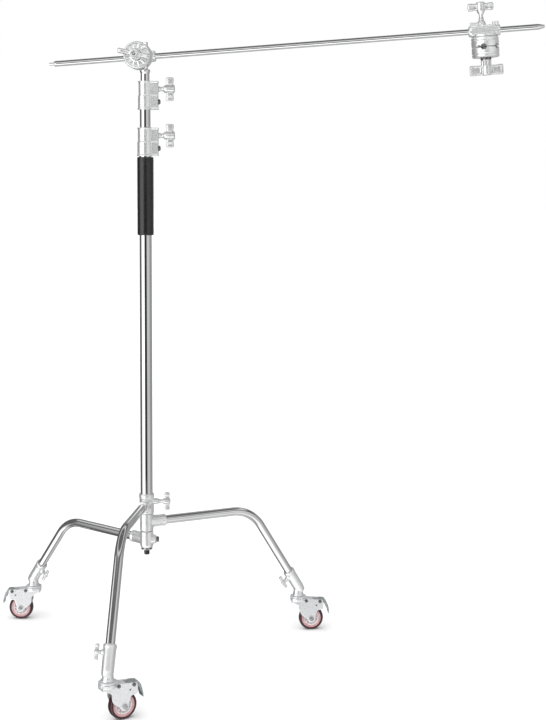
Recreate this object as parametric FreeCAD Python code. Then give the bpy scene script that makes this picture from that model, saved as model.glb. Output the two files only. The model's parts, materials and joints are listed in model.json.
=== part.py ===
import FreeCAD, Part
import math
import os

# C-stand on casters with a boom arm and two grip heads, in millimetres.
# The origin is on the column's axis at floor level, +Z is up and -Y is the front.

Vec = FreeCAD.Vector
UP = Vec(0, 0, 1)
RIGHT = Vec(1, 0, 0)

# Fits
FIT = 0.05              # radial clearance of a shaft in its bore
GAP = 0.4               # space between faces that move past each other

# Column: three telescoping tubes
TUBE_1_R = 17.5
TUBE_2_R = 15.0
TUBE_3_R = 12.5
TUBE_WALL = 1.5
SEAT_Z = 428.5          # where the column stands in its base
TUBE_1_TOP = 1496.0
TUBE_2_BOTTOM = 520.0
TUBE_2_TOP = 1622.0
TUBE_3_BOTTOM = 600.0
TUBE_3_TOP = 1690.0
SLEEVE_R = 23.25
SLEEVE_BOTTOM = 1232.0
SLEEVE_TOP = 1454.0
COLLAR_1_Z = 1457.0
COLLAR_2_Z = 1588.0
COLLAR_STEP = 40.0      # height of a collar's lower half
COLLAR_HEIGHT = 80.0
COLLAR_EAR_X = 38.0     # face of the clamp ears, from the column's axis
COLLAR_EAR_WIDE = 24.0
KNOB_STEM_R = 5.0       # screw of every collar and head knob
COLLAR_KNOB_Z = 58.0    # above the collar's bottom
COLLAR_BOLT_R = 4.0
COLLAR_BOLT_Z = 22.0
STUD_R = 8.0            # 5/8 inch stud
STUD_TOP = 1777.0

# Base: a post with three leg hubs stacked on it
POST_R = 13.0
POST_BOTTOM = 318.0
RECEIVER_R = 21.0
RECEIVER_BOTTOM = 422.0
RECEIVER_TOP = 480.0
HUB_R = 19.5
HUB_HEIGHT = 50.0
BASE_KNOB_Z = 457.0
BASE_KNOB_BOSS_X = 34.0
BASE_STEM_R = 4.0
BUTTON_R = 8.0
BUTTON_BOTTOM = 299.0
LUG_X = 29.0            # face of the lock lug, from the column's axis
PLUNGER_Z = 344.0
PLUNGER_R = 5.0

# Legs: azimuth is turned from -Y towards +X; top_z is the level run's height
LEG_R = 12.5
LEG_WALL = 1.5
LEG_START = 24.0
LEG_BEND_AT = 337.0
LEG_BEND_R = 110.0
LEG_END = Vec(509, 0, 121)
SOCKET_MOUTH = 57.0
LEGS = {
    "front": {"azimuth": -6.2, "top_z": 451.0, "trail": 31.0, "screw_side": "left"},
    "right": {"azimuth": 116.4, "top_z": 396.0, "trail": 6.8, "screw_side": "under"},
    "left": {"azimuth": 231.1, "top_z": 344.0, "trail": 178.6, "screw_side": "under"},
}

# Casters, each in a frame with its swivel axis as Z and its trail along +X
SWIVEL_RADIUS = 500.0   # from the column's axis to each swivel axis
WHEEL_R = 37.5
WHEEL_W = 24.0
RIM_R = 26.0
TRAIL = 40.0
AXLE_R = 4.0
AXLE_HEX_R = 7.5
RACE_TOP = 107.0
RACE_R = 25.0
FORK_TOP = 99.5
FORK_CROWN = 6.5        # thickness of the fork's top plate
FORK_HALF = 17.0
FORK_WALL = 2.5
KINGPIN_R = 5.0
BRAKE_PIVOT = Vec(55, 0, 79)
BRAKE_PIN_R = 2.5

# Caster socket: a cast sleeve on each leg's lower end
SOCKET_R = 17.0
SOCKET_LENGTH = 83.0
SOCKET_FLOOR = 12.0
SCREW_R = 3.0
SCREW_AT = 62.0         # from the socket's lower end, along the leg
SCREW_BOSS = 22.0       # from the leg's axis

# Grip heads, in a frame with the jaws' parting plane at Z = 0 and the handle on +Z
JAW_R = 38.5
JAW_GAP = 0.6           # each jaw's face to the parting plane
JAW_THICK = 28.0
JAW_BORE_AT = 20.0      # each jaw bore's distance from the bolt
JAW_BORES = [8.0, 4.75, 6.35, 3.25]     # radii, a quarter turn apart
BOLT_R = 5.0
ARM_BORE_Z = -46.0
BLOCK_HALF = 44.0
BLOCK_WIDE = 31.0
BLOCK_TOP = -63.0
HEAD_KNOB_X = -7.0
HANDLE_START = JAW_GAP + JAW_THICK + GAP
HANDLE_NECK = 20.0
HANDLE_DEPTH = 29.0
HANDLE_BOSS_R = 15.0
HANDLE_BAR_HALF = 47.0
JAW_2_TURN = 158.7      # turns head 2's largest bore mouth to the front
HANDLE_1_TURN = -12.0   # the front handle's bar leans with its left end up

# Boom arm
ARM_R = 8.0
ARM_WALL = 1.5
HEAD_1_Z = 1739.0
HEAD_YAW = 3.0          # both heads and the arm, turned about +Z
ARM_TILT = 4.3          # the arm's rise towards its far end
ARM_NEAR = -247.0       # ends of the tube, measured along the arm from head 1
ARM_FAR = 1129.0
HEAD_2_AT = 980.0
ARM_PIN_R = 4.0
ARM_PIN_LENGTH = 17.0
ARM_CAP_LENGTH = 19.5

os.makedirs("parts", exist_ok=True)


def save(name, shape):
    shape.exportStep("parts/%s.step" % name)
    print("%-22s %9.1f cm3 %s" % (name, shape.Volume / 1000.0, shape.isValid()))


def cylinder(radius, length, base, axis=UP):
    return Part.makeCylinder(radius, length, base, axis)


def cone(radius_0, radius_1, length, base, axis=UP):
    return Part.makeCone(radius_0, radius_1, length, base, axis)


def turned(outline):
    """A solid of revolution about Z from (radius, height) corners."""
    corners = [Vec(r, 0, z) for r, z in outline]
    wire = Part.makePolygon(corners + corners[:1])
    return Part.Face(wire).revolve(Vec(0, 0, 0), UP, 360)


def prism(outline, half_width):
    """A plate across Y from (x, z) corners."""
    corners = [Vec(x, -half_width, z) for x, z in outline]
    wire = Part.makePolygon(corners + corners[:1])
    return Part.Face(wire).extrude(Vec(0, 2 * half_width, 0))


def placed(shape, origin, x_dir, z_dir):
    """The shape moved so that its own X, Z and origin land on the given ones."""
    z = Vec(z_dir).normalize()
    x = Vec(x_dir - z * z.dot(x_dir)).normalize()
    y = z.cross(x)
    matrix = FreeCAD.Matrix(
        x.x, y.x, z.x, origin.x,
        x.y, y.y, z.y, origin.y,
        x.z, y.z, z.z, origin.z,
        0, 0, 0, 1,
    )
    moved = shape.copy()
    moved.Placement = FreeCAD.Placement(matrix).multiply(shape.Placement)
    return moved


def spun(shape, degrees):
    """The shape turned about Z."""
    moved = shape.copy()
    moved.rotate(Vec(0, 0, 0), UP, degrees)
    return moved


def leg_turn(leg):
    """Rotation that carries the radial +X of a leg's own plane to its azimuth."""
    return LEGS[leg]["azimuth"] - 90.0


def t_handle(length, depth, thick, boss_r, stem_r, stem_length, neck):
    """A T-handle on a stem: axis +Z from the face it screws into, bar along X."""
    boss = cylinder(boss_r, depth, Vec(0, 0, neck))
    rounded_boss = boss.makeFillet(1.5, [boss.Edges[0], boss.Edges[2]])
    throat = cone(stem_r + 2.5, boss_r - 1.6, neck + 1, Vec(0, 0, GAP))
    stem = cylinder(stem_r, stem_length + neck + 2, Vec(0, 0, -stem_length))
    bar = Part.makeBox(length, thick, depth, Vec(-length / 2, -thick / 2, neck))
    soft_bar = bar.makeFillet(thick * 0.3, bar.Edges)
    return soft_bar.multiFuse([rounded_boss, throat, stem]).removeSplitter()


# ---------------------------------------------------------------- column


def column_tube(radius, bottom, top):
    outer = cylinder(radius, top - bottom, Vec(0, 0, bottom))
    inner = cylinder(radius - TUBE_WALL, top - bottom, Vec(0, 0, bottom))
    return outer.cut(inner)


def grip_sleeve():
    edge = 2.5
    bore = TUBE_1_R + FIT
    outline = [
        (bore, SLEEVE_BOTTOM), (SLEEVE_R - edge, SLEEVE_BOTTOM), (SLEEVE_R, SLEEVE_BOTTOM + edge),
        (SLEEVE_R, SLEEVE_TOP - edge), (SLEEVE_R - edge, SLEEVE_TOP), (bore, SLEEVE_TOP),
    ]
    return turned(outline)


def collar(bottom, outer_tube_r, inner_tube_r):
    """A clamp collar: its lower half holds one tube's top, its upper half guides the next."""
    step = bottom + COLLAR_STEP
    top = bottom + COLLAR_HEIGHT
    low_r = outer_tube_r + 5.0
    high_r = outer_tube_r + 3.5
    flange = 3.5
    outline = [
        (outer_tube_r + FIT, bottom), (low_r + 1, bottom), (low_r + 1, bottom + flange),
        (low_r, bottom + flange), (low_r, step - 1), (low_r + 0.7, step - 1),
        (low_r + 0.7, step + 1), (high_r, step + 1), (high_r, top - flange),
        (high_r + 1.5, top - flange), (high_r + 1.5, top), (inner_tube_r + FIT, top),
        (inner_tube_r + FIT, step), (outer_tube_r + FIT, step),
    ]
    ears = []
    for low, high in ((bottom + 6, step - 3), (step + 3, top - 5)):
        ear = Part.makeBox(COLLAR_EAR_X, COLLAR_EAR_WIDE, high - low, Vec(0, -COLLAR_EAR_WIDE / 2, low))
        ears.append(ear.makeFillet(4, [ear.Edges[4], ear.Edges[6]]))
    body = turned(outline).multiFuse(ears)
    bores = [
        cylinder(outer_tube_r + FIT, step - bottom + 2, Vec(0, 0, bottom - 2)),
        cylinder(inner_tube_r + FIT, COLLAR_HEIGHT, Vec(0, 0, bottom)),
        cylinder(KNOB_STEM_R + FIT, 60, Vec(0, 0, bottom + COLLAR_KNOB_Z), RIGHT),
        cylinder(COLLAR_BOLT_R + FIT, 60, Vec(0, 0, bottom + COLLAR_BOLT_Z), RIGHT),
    ]
    return body.cut(Part.makeCompound(bores)).removeSplitter()


def collar_knob(bottom, inner_tube_r):
    stem_length = COLLAR_EAR_X - inner_tube_r - 0.8
    knob = t_handle(
        length=66, depth=28, thick=12, boss_r=12,
        stem_r=KNOB_STEM_R, stem_length=stem_length, neck=18,
    )
    return placed(knob, Vec(COLLAR_EAR_X, 0, bottom + COLLAR_KNOB_Z), UP, RIGHT)


def collar_bolt(bottom, outer_tube_r):
    start = outer_tube_r + 0.8
    shank = cylinder(COLLAR_BOLT_R, COLLAR_EAR_X - start + 1, Vec(0, 0, start))
    head = cylinder(7.5, 5.5, Vec(0, 0, COLLAR_EAR_X))
    domed = head.makeFillet(2.5, [head.Edges[0]])
    socket = cylinder(3, 3, Vec(0, 0, COLLAR_EAR_X + 3))
    bolt = shank.fuse(domed).cut(socket)
    return placed(bolt, Vec(0, 0, bottom + COLLAR_BOLT_Z), UP, RIGHT)


def stud():
    plug_r = TUBE_3_R - TUBE_WALL - FIT
    outline = [
        (0, TUBE_3_TOP - 30), (plug_r, TUBE_3_TOP - 30), (plug_r, TUBE_3_TOP),
        (TUBE_3_R, TUBE_3_TOP), (TUBE_3_R + 2, TUBE_3_TOP + 4), (TUBE_3_R + 2, TUBE_3_TOP + 9),
        (TUBE_3_R, TUBE_3_TOP + 11), (STUD_R, TUBE_3_TOP + 12), (STUD_R, STUD_TOP - 1.5),
        (STUD_R - 1.5, STUD_TOP), (0, STUD_TOP),
    ]
    return turned(outline)


# ---------------------------------------------------------------- base


def leg_socket(top_z, from_r):
    """The tapered socket that a leg's inner end is fixed in, along +X."""
    length = SOCKET_MOUTH - from_r
    return cone(18.0, 15.5, length, Vec(from_r, 0, top_z), RIGHT)


def leg_socket_bore(top_z):
    return cylinder(LEG_R + FIT, SOCKET_MOUTH, Vec(LEG_START, 0, top_z), RIGHT)


def base_receiver():
    """The top casting: it holds the column's foot, the post and the front leg."""
    edge = 2.0
    outline = [
        (POST_R + FIT, RECEIVER_BOTTOM), (RECEIVER_R, RECEIVER_BOTTOM), (RECEIVER_R, RECEIVER_TOP - 8),
        (RECEIVER_R + 1, RECEIVER_TOP - 7), (RECEIVER_R + 1, RECEIVER_TOP - edge),
        (RECEIVER_R - 1, RECEIVER_TOP), (TUBE_1_R + FIT, RECEIVER_TOP),
        (TUBE_1_R + FIT, SEAT_Z - 0.5), (POST_R + FIT, SEAT_Z - 0.5),
    ]
    top_z = LEGS["front"]["top_z"]
    turn = leg_turn("front")
    socket = spun(leg_socket(top_z, 12), turn)
    bore = spun(leg_socket_bore(top_z), turn)
    boss = cylinder(8.5, BASE_KNOB_BOSS_X - 10, Vec(10, 0, BASE_KNOB_Z), RIGHT)
    screw_hole = cylinder(BASE_STEM_R + FIT, 60, Vec(0, 0, BASE_KNOB_Z), RIGHT)
    well = cylinder(TUBE_1_R + FIT, 100, Vec(0, 0, SEAT_Z - 0.5))
    post_hole = cylinder(POST_R + FIT, 100, Vec(0, 0, RECEIVER_BOTTOM - 50))
    body = turned(outline).multiFuse([socket, boss])
    return body.cut(Part.makeCompound([bore, screw_hole, well, post_hole])).removeSplitter()


def base_knob():
    stem_length = BASE_KNOB_BOSS_X - TUBE_1_R - 0.8
    knob = t_handle(
        length=52, depth=19, thick=10, boss_r=9,
        stem_r=BASE_STEM_R, stem_length=stem_length, neck=16,
    )
    return placed(knob, Vec(BASE_KNOB_BOSS_X, 0, BASE_KNOB_Z), UP, RIGHT)


def base_post():
    """The tube that the two folding hubs turn on, with the flange that keeps them there."""
    bore = 9.0
    outline = [
        (bore, POST_BOTTOM - 3), (16.5, POST_BOTTOM - 3), (16.5, POST_BOTTOM), (POST_R, POST_BOTTOM),
        (POST_R, SEAT_Z - 0.8), (bore, SEAT_Z - 0.8),
    ]
    return turned(outline)


def end_button():
    plug_top = POST_BOTTOM + 12
    outline = [
        (0, BUTTON_BOTTOM), (BUTTON_R - 2, BUTTON_BOTTOM), (BUTTON_R, BUTTON_BOTTOM + 2),
        (BUTTON_R, POST_BOTTOM), (BUTTON_R, plug_top), (0, plug_top),
    ]
    return turned(outline)


def folding_hub(leg):
    """A leg hub that turns on the post; the lowest one has a rounded foot."""
    top_z = LEGS[leg]["top_z"]
    bottom = top_z - HUB_HEIGHT / 2
    barrel = cylinder(HUB_R, HUB_HEIGHT, Vec(0, 0, bottom))
    low_fillet = 7.0 if leg == "left" else 1.0
    barrel = barrel.makeFillet(low_fillet, [barrel.Edges[2]])
    body = barrel.fuse(spun(leg_socket(top_z, 10), leg_turn(leg)))
    bores = [
        cylinder(POST_R + FIT, HUB_HEIGHT + 20, Vec(0, 0, bottom - 10)),
        spun(leg_socket_bore(top_z), leg_turn(leg)),
    ]
    if leg == "left":
        lug = cylinder(14, LUG_X - 10, Vec(10, 0, PLUNGER_Z), RIGHT)
        body = body.fuse(lug.makeChamfer(4, [lug.Edges[0]]))
        bores.append(cylinder(PLUNGER_R + FIT, 60, Vec(0, 0, PLUNGER_Z), RIGHT))
    return body.cut(Part.makeCompound(bores)).removeSplitter()


def lock_plunger():
    """The spring-loaded pin in the lowest hub that is pulled to let the legs turn."""
    outline = [
        (0, POST_R + GAP), (PLUNGER_R, POST_R + GAP), (PLUNGER_R, LUG_X + GAP), (8, LUG_X + GAP),
        (8, LUG_X + 5), (6.5, LUG_X + 6.5), (0, LUG_X + 6.5),
    ]
    return placed(turned(outline), Vec(0, 0, PLUNGER_Z), UP, RIGHT)


# ---------------------------------------------------------------- legs


def leg_slope(leg):
    """Angle below horizontal of a leg's slanted run, in radians."""
    drop = LEGS[leg]["top_z"] - LEG_END.z
    return math.atan2(drop, LEG_END.x - LEG_BEND_AT)


def down_leg(leg):
    slope = leg_slope(leg)
    return Vec(math.cos(slope), 0, -math.sin(slope))


def bent_rod(leg, radius):
    """A level run, a large bend and a slanted run, in the XZ plane."""
    top_z = LEGS[leg]["top_z"]
    slope = leg_slope(leg)
    tangent = LEG_BEND_R * math.tan(slope / 2)
    bend_start = Vec(LEG_BEND_AT - tangent, 0, top_z)
    bend_centre = bend_start - UP * LEG_BEND_R
    level_run = cylinder(radius, bend_start.x - LEG_START, Vec(LEG_START, 0, top_z), RIGHT)
    section = Part.Face(Part.Wire(Part.makeCircle(radius, bend_start, RIGHT)))
    bend = section.revolve(bend_centre, Vec(0, 1, 0), math.degrees(slope))
    bend_end = Vec(LEG_BEND_AT, 0, top_z) + down_leg(leg) * tangent
    length = (LEG_END - bend_end).Length - SOCKET_FLOOR
    slanted_run = cylinder(radius, length, bend_end, down_leg(leg))
    return level_run.multiFuse([bend, slanted_run]).removeSplitter()


def leg_tube(leg):
    tube = bent_rod(leg, LEG_R).cut(bent_rod(leg, LEG_R - LEG_WALL))
    return spun(tube, leg_turn(leg))


# ---------------------------------------------------------------- casters


def screw_direction(leg):
    """The side of a caster socket that its screw enters from, in the leg's own plane."""
    if LEGS[leg]["screw_side"] == "left":
        return Vec(0, -1, 0)
    slope = leg_slope(leg)
    return Vec(-math.sin(slope), 0, -math.cos(slope))


def caster_socket(leg):
    """The cast sleeve on a leg's lower end, with an upright boss for the caster."""
    down = down_leg(leg)
    start = LEG_END - down * SOCKET_LENGTH
    shoulder = 6.0
    body = cylinder(SOCKET_R, SOCKET_LENGTH - shoulder, start + down * shoulder, down)
    taper = cone(LEG_R + 1.5, SOCKET_R, shoulder, start, down)
    screw_at = LEG_END - down * SCREW_AT
    screw_boss = cylinder(7.5, SCREW_BOSS, screw_at, screw_direction(leg))
    upright = cylinder(16.0, 24, Vec(SWIVEL_RADIUS, 0, RACE_TOP))
    rounding = Part.makeSphere(SOCKET_R, LEG_END)
    below = Part.makeBox(100, 100, 50, Vec(SWIVEL_RADIUS - 50, -50, RACE_TOP - 50))
    body = body.multiFuse([taper, screw_boss, upright, rounding]).cut(below)
    bore = cylinder(LEG_R + FIT, SOCKET_LENGTH - SOCKET_FLOOR + 5, start - down * 5, down)
    screw_hole = cylinder(SCREW_R + FIT, 40, screw_at, screw_direction(leg))
    body = body.cut(Part.makeCompound([bore, screw_hole])).removeSplitter()
    return spun(body, leg_turn(leg))


def socket_screw(leg):
    stem_length = SCREW_BOSS - LEG_R - 0.8
    screw = t_handle(
        length=42, depth=13, thick=7, boss_r=6,
        stem_r=SCREW_R, stem_length=stem_length, neck=5,
    )
    down = down_leg(leg)
    face = LEG_END - down * SCREW_AT + screw_direction(leg) * SCREW_BOSS
    return spun(placed(screw, face, down, screw_direction(leg)), leg_turn(leg))


def caster_race():
    """The plate fixed under the socket, with the kingpin that the fork turns on."""
    neck_bottom = FORK_TOP + GAP
    pin_bottom = FORK_TOP - FORK_CROWN - GAP
    outline = [
        (0, RACE_TOP), (RACE_R, RACE_TOP), (RACE_R, RACE_TOP - 3.5), (19.5, RACE_TOP - 3.5),
        (19.5, neck_bottom), (KINGPIN_R, neck_bottom), (KINGPIN_R, pin_bottom), (9, pin_bottom),
        (9, pin_bottom - 4), (7, pin_bottom - 6), (0, pin_bottom - 6),
    ]
    return turned(outline)


def caster_fork():
    """Two cheeks under a hood, joined to a round crown with a raised rim."""
    crown_z = FORK_TOP - FORK_CROWN
    cheek = [
        (-20, FORK_TOP), (30, FORK_TOP), (75, 96), (77, 66), (56, 62), (51.5, WHEEL_R + 3),
        (28.5, WHEEL_R + 3), (9, 50), (5, 78), (-14, 85), (-20, 90),
    ]
    inner_half = FORK_HALF - FORK_WALL
    inside = [
        (-17.5, 0), (80, 0), (80, 110), (46, 110), (46, 87), (25, crown_z), (-17.5, crown_z),
    ]
    tab = cylinder(12, 2 * FORK_HALF, Vec(TRAIL, -FORK_HALF, WHEEL_R), Vec(0, 1, 0))
    shell = prism(cheek, FORK_HALF).fuse(tab)
    shell = shell.cut(prism(inside, inner_half))
    crown = cylinder(RACE_R - 0.5, FORK_CROWN, Vec(0, 0, crown_z))
    rim = cylinder(RACE_R - 0.5, 3, Vec(0, 0, FORK_TOP))
    rim = rim.cut(cylinder(20, 3, Vec(0, 0, FORK_TOP)))
    across = Vec(0, 1, 0)
    holes = [
        cylinder(KINGPIN_R + FIT, 40, Vec(0, 0, 80)),
        cylinder(AXLE_R + FIT, 60, Vec(TRAIL, -30, WHEEL_R), across),
        cylinder(BRAKE_PIN_R + FIT, 60, BRAKE_PIVOT - across * 30, across),
    ]
    return shell.multiFuse([crown, rim]).cut(Part.makeCompound(holes)).removeSplitter()


def wheel_tread():
    half = WHEEL_W / 2
    outline = [
        (RIM_R, -half + 1), (RIM_R + 4, -half), (WHEEL_R - 4, -half), (WHEEL_R - 1, -half + 2.5),
        (WHEEL_R, -half + 6), (WHEEL_R, half - 6), (WHEEL_R - 1, half - 2.5), (WHEEL_R - 4, half),
        (RIM_R + 4, half), (RIM_R, half - 1),
    ]
    return placed(turned(outline), Vec(TRAIL, 0, WHEEL_R), RIGHT, Vec(0, 1, 0))


def wheel_hub():
    """The rim, web and bearing boss of a wheel."""
    half = WHEEL_W / 2
    web = 3.5
    bore = AXLE_R + FIT
    edge = RIM_R - FIT
    outline = [
        (bore, -half - 1.5), (10, -half - 1.5), (12, -web), (20, -web), (22, -half + 1),
        (edge, -half + 1), (edge, half - 1), (22, half - 1), (20, web), (12, web),
        (10, half + 1.5), (bore, half + 1.5),
    ]
    return placed(turned(outline), Vec(TRAIL, 0, WHEEL_R), RIGHT, Vec(0, 1, 0))


def wheel_axle():
    """A bolt through both cheeks with a hexagon head and a nut."""
    across = Vec(0, 1, 0)
    start = Vec(TRAIL, -FORK_HALF - 6, WHEEL_R)
    shank = cylinder(AXLE_R, 2 * FORK_HALF + 12, start, across)
    ends = []
    for side in (-1, 1):
        face_y = side * (FORK_HALF + 0.1)
        corners = []
        for k in range(7):
            turn = math.radians(60 * k)
            corner = Vec(math.cos(turn), 0, math.sin(turn)) * AXLE_HEX_R
            corners.append(Vec(TRAIL, face_y, WHEEL_R) + corner)
        ends.append(Part.Face(Part.makePolygon(corners)).extrude(across * side * 5))
    return shank.multiFuse(ends).removeSplitter()


def brake_pedal():
    """A bent foot pedal on a cross pin at the hood's outer end."""
    thick = 2.6
    half = FORK_HALF - FORK_WALL - 1.2
    across = Vec(0, 1, 0)
    top_line = [(49, 79), (57, 92), (70, 98), (81, 97), (89, 86), (97, 50)]
    low_line = [(94, 49), (86.2, 85), (79.5, 93.9), (70.5, 95), (59, 90), (52.5, 77)]
    plate = prism(top_line + low_line, half)
    edges = [e for e in plate.Edges if abs(e.BoundBox.YLength) > 5 and e.BoundBox.XMin > 55]
    plate = plate.makeFillet(thick / 3, edges)
    boss = cylinder(5, 2 * half, BRAKE_PIVOT - across * half, across)
    pin = cylinder(BRAKE_PIN_R, 2 * FORK_HALF, BRAKE_PIVOT - across * FORK_HALF, across)
    return plate.multiFuse([boss, pin]).removeSplitter()


def at_caster(shape, leg):
    """A caster piece moved from its own frame to its leg's foot."""
    azimuth = math.radians(LEGS[leg]["azimuth"])
    foot = Vec(math.sin(azimuth), -math.cos(azimuth), 0) * SWIVEL_RADIUS
    trail = math.radians(LEGS[leg]["trail"])
    return placed(shape, foot, Vec(math.cos(trail), math.sin(trail), 0), UP)


# ---------------------------------------------------------------- grip heads


def jaw_bore(index, radius):
    """One of the bores that run across the parting plane, beside the bolt."""
    turn = math.radians(90 * index)
    beside = Vec(math.cos(turn), math.sin(turn), 0)
    along = Vec(-math.sin(turn), math.cos(turn), 0)
    return cylinder(radius + FIT, 4 * JAW_R, beside * JAW_BORE_AT - along * 2 * JAW_R, along)


def jaw(side):
    """One of the two clamping discs; side is +1 for the handle's and -1 for the block's."""
    disc = cylinder(JAW_R, JAW_THICK, Vec(0, 0, JAW_GAP))
    outer_edge = disc.Edges[0]
    disc = disc.makeFillet(3.0, [outer_edge])
    groove_depth = 1.4
    groove_floor = Vec(0, 0, JAW_GAP + JAW_THICK - groove_depth)
    island = cylinder(JAW_R - 9, groove_depth, groove_floor)
    groove = cylinder(JAW_R - 5, groove_depth, groove_floor).cut(island)
    disc = disc.cut(groove)
    if side < 0:
        disc = placed(disc, Vec(0, 0, 0), RIGHT, -UP)
    holes = [jaw_bore(k, radius) for k, radius in enumerate(JAW_BORES)]
    holes.append(cylinder(BOLT_R + FIT, 200, Vec(0, 0, -100)))
    return disc.cut(Part.makeCompound(holes)).removeSplitter()


def head_block():
    """The casting that holds the boom arm: a round flange, a block and a screw boss."""
    flange_face = -JAW_GAP - JAW_THICK - GAP
    flange = cylinder(JAW_R - 1, 8, Vec(0, 0, flange_face - 8))
    flange = flange.makeFillet(1.5, [flange.Edges[2]])
    height = flange_face - 4 - BLOCK_TOP
    block_corner = Vec(-BLOCK_HALF, -BLOCK_WIDE / 2, BLOCK_TOP)
    block = Part.makeBox(2 * BLOCK_HALF, BLOCK_WIDE, height, block_corner)
    block = block.makeFillet(5, block.Edges)
    boss = cone(13, 10, 12, Vec(HEAD_KNOB_X, 0, BLOCK_TOP + 1), -UP)
    ribs = []
    for x, length in ((-BLOCK_HALF + 6, 20), (BLOCK_HALF - 20, 12)):
        rib = Part.makeBox(length, 16, 16, Vec(x, -8, BLOCK_TOP - 8))
        ribs.append(rib.makeFillet(3, rib.Edges))
    holes = [
        cylinder(ARM_R + FIT, 200, Vec(-100, 0, ARM_BORE_Z), RIGHT),
        cylinder(KNOB_STEM_R + FIT, 60, Vec(HEAD_KNOB_X, 0, ARM_BORE_Z), -UP),
        cylinder(BOLT_R, 40, Vec(0, 0, ARM_BORE_Z + ARM_R + 1.5)),
    ]
    return block.multiFuse([flange, boss] + ribs).cut(Part.makeCompound(holes)).removeSplitter()


def head_bolt():
    """The bolt fixed in the block, which the jaws and the handle ride on."""
    bottom = ARM_BORE_Z + ARM_R + 1.6
    top = HANDLE_START + HANDLE_NECK + HANDLE_DEPTH - 4
    bolt = cylinder(BOLT_R, top - bottom, Vec(0, 0, bottom))
    return bolt.makeChamfer(1, [bolt.Edges[0]])


def head_handle():
    """The large T-handle: a nut on the bolt that closes the jaws."""
    throat = cylinder(HANDLE_BOSS_R, HANDLE_NECK + 5, Vec(0, 0, HANDLE_START))
    throat = throat.makeFillet(1.5, [throat.Edges[2]])
    start = HANDLE_START + HANDLE_NECK
    boss = cone(HANDLE_BOSS_R, 14.0, HANDLE_DEPTH, Vec(0, 0, start))
    bar = Part.makeBox(2 * HANDLE_BAR_HALF, 14, HANDLE_DEPTH, Vec(-HANDLE_BAR_HALF, -7, start))
    bar = bar.makeFillet(4, bar.Edges)
    body = bar.multiFuse([throat, boss])
    return body.cut(cylinder(BOLT_R + FIT, 200, Vec(0, 0, 0))).removeSplitter()


def head_knob():
    """The small T-knob whose screw holds the block on the arm."""
    face = BLOCK_TOP - 11
    stem_length = ARM_BORE_Z - ARM_R - 0.8 - face
    knob = t_handle(
        length=72, depth=27, thick=12, boss_r=12,
        stem_r=KNOB_STEM_R, stem_length=stem_length, neck=26,
    )
    return placed(knob, Vec(HEAD_KNOB_X, 0, face), RIGHT, -UP)


# ---------------------------------------------------------------- boom arm

YAW = math.radians(HEAD_YAW)
TILT = math.radians(ARM_TILT)
HEAD_1_ACROSS = Vec(math.cos(YAW), -math.sin(YAW), 0)
HEAD_1_OUT = Vec(-math.sin(YAW), -math.cos(YAW), 0)
HEAD_1_ORIGIN = HEAD_1_ACROSS * -JAW_BORE_AT + UP * HEAD_1_Z
ARM_DIR = HEAD_1_ACROSS * math.cos(TILT) + UP * math.sin(TILT)
ARM_START = HEAD_1_ORIGIN + HEAD_1_OUT * ARM_BORE_Z
HEAD_2_DOWN = HEAD_1_ACROSS * math.sin(TILT) - UP * math.cos(TILT)
HEAD_2_ORIGIN = ARM_START + ARM_DIR * HEAD_2_AT - HEAD_2_DOWN * ARM_BORE_Z


def on_arm(shape, distance):
    """A piece made about Z moved onto the arm's axis."""
    return placed(shape, ARM_START + ARM_DIR * distance, HEAD_1_OUT, ARM_DIR)


def arm_tube():
    length = ARM_FAR - ARM_NEAR
    outer = cylinder(ARM_R, length, Vec(0, 0, 0))
    inner = cylinder(ARM_R - ARM_WALL, length, Vec(0, 0, 0))
    return on_arm(outer.cut(inner), ARM_NEAR)


def arm_pin():
    """The turned plug at the arm's near end with a short pin."""
    plug_r = ARM_R - ARM_WALL - FIT
    outline = [
        (0, 20), (plug_r, 20), (plug_r, 0), (ARM_R, 0), (ARM_R, -1.5), (ARM_PIN_R + 1, -3),
        (ARM_PIN_R, -3), (ARM_PIN_R, -ARM_PIN_LENGTH + 1), (ARM_PIN_R - 1, -ARM_PIN_LENGTH),
        (0, -ARM_PIN_LENGTH),
    ]
    return on_arm(turned(outline), ARM_NEAR)


def arm_cap():
    plug_r = ARM_R - ARM_WALL - FIT
    outline = [
        (0, -15), (plug_r, -15), (plug_r, 0), (ARM_R, 0), (ARM_R, 2),
        (ARM_R - 4, ARM_CAP_LENGTH), (0, ARM_CAP_LENGTH),
    ]
    return on_arm(turned(outline), ARM_FAR)


def at_head_1(shape, arm_side):
    """Block pieces follow the arm's tilt; the jaws stay square to the stud."""
    along = ARM_DIR if arm_side else HEAD_1_ACROSS
    return placed(shape, HEAD_1_ORIGIN, along, HEAD_1_OUT)


def at_head_2(shape):
    return placed(shape, HEAD_2_ORIGIN, ARM_DIR, HEAD_2_DOWN)


# ---------------------------------------------------------------- output

save("base_receiver", base_receiver())
save("base_post", base_post())
save("base_knob", base_knob())
save("end_button", end_button())
save("hub_right", folding_hub("right"))
save("hub_left", folding_hub("left"))
save("lock_plunger", lock_plunger())

save("tube_1", column_tube(TUBE_1_R, SEAT_Z, TUBE_1_TOP))
save("tube_2", column_tube(TUBE_2_R, TUBE_2_BOTTOM, TUBE_2_TOP))
save("tube_3", column_tube(TUBE_3_R, TUBE_3_BOTTOM, TUBE_3_TOP))
save("grip_sleeve", grip_sleeve())
save("stud", stud())
for number, collar_z, outer_r, inner_r in (
    (1, COLLAR_1_Z, TUBE_1_R, TUBE_2_R),
    (2, COLLAR_2_Z, TUBE_2_R, TUBE_3_R),
):
    save("collar_%d" % number, collar(collar_z, outer_r, inner_r))
    save("collar_%d_knob" % number, collar_knob(collar_z, inner_r))
    save("collar_%d_bolt" % number, collar_bolt(collar_z, outer_r))

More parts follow.
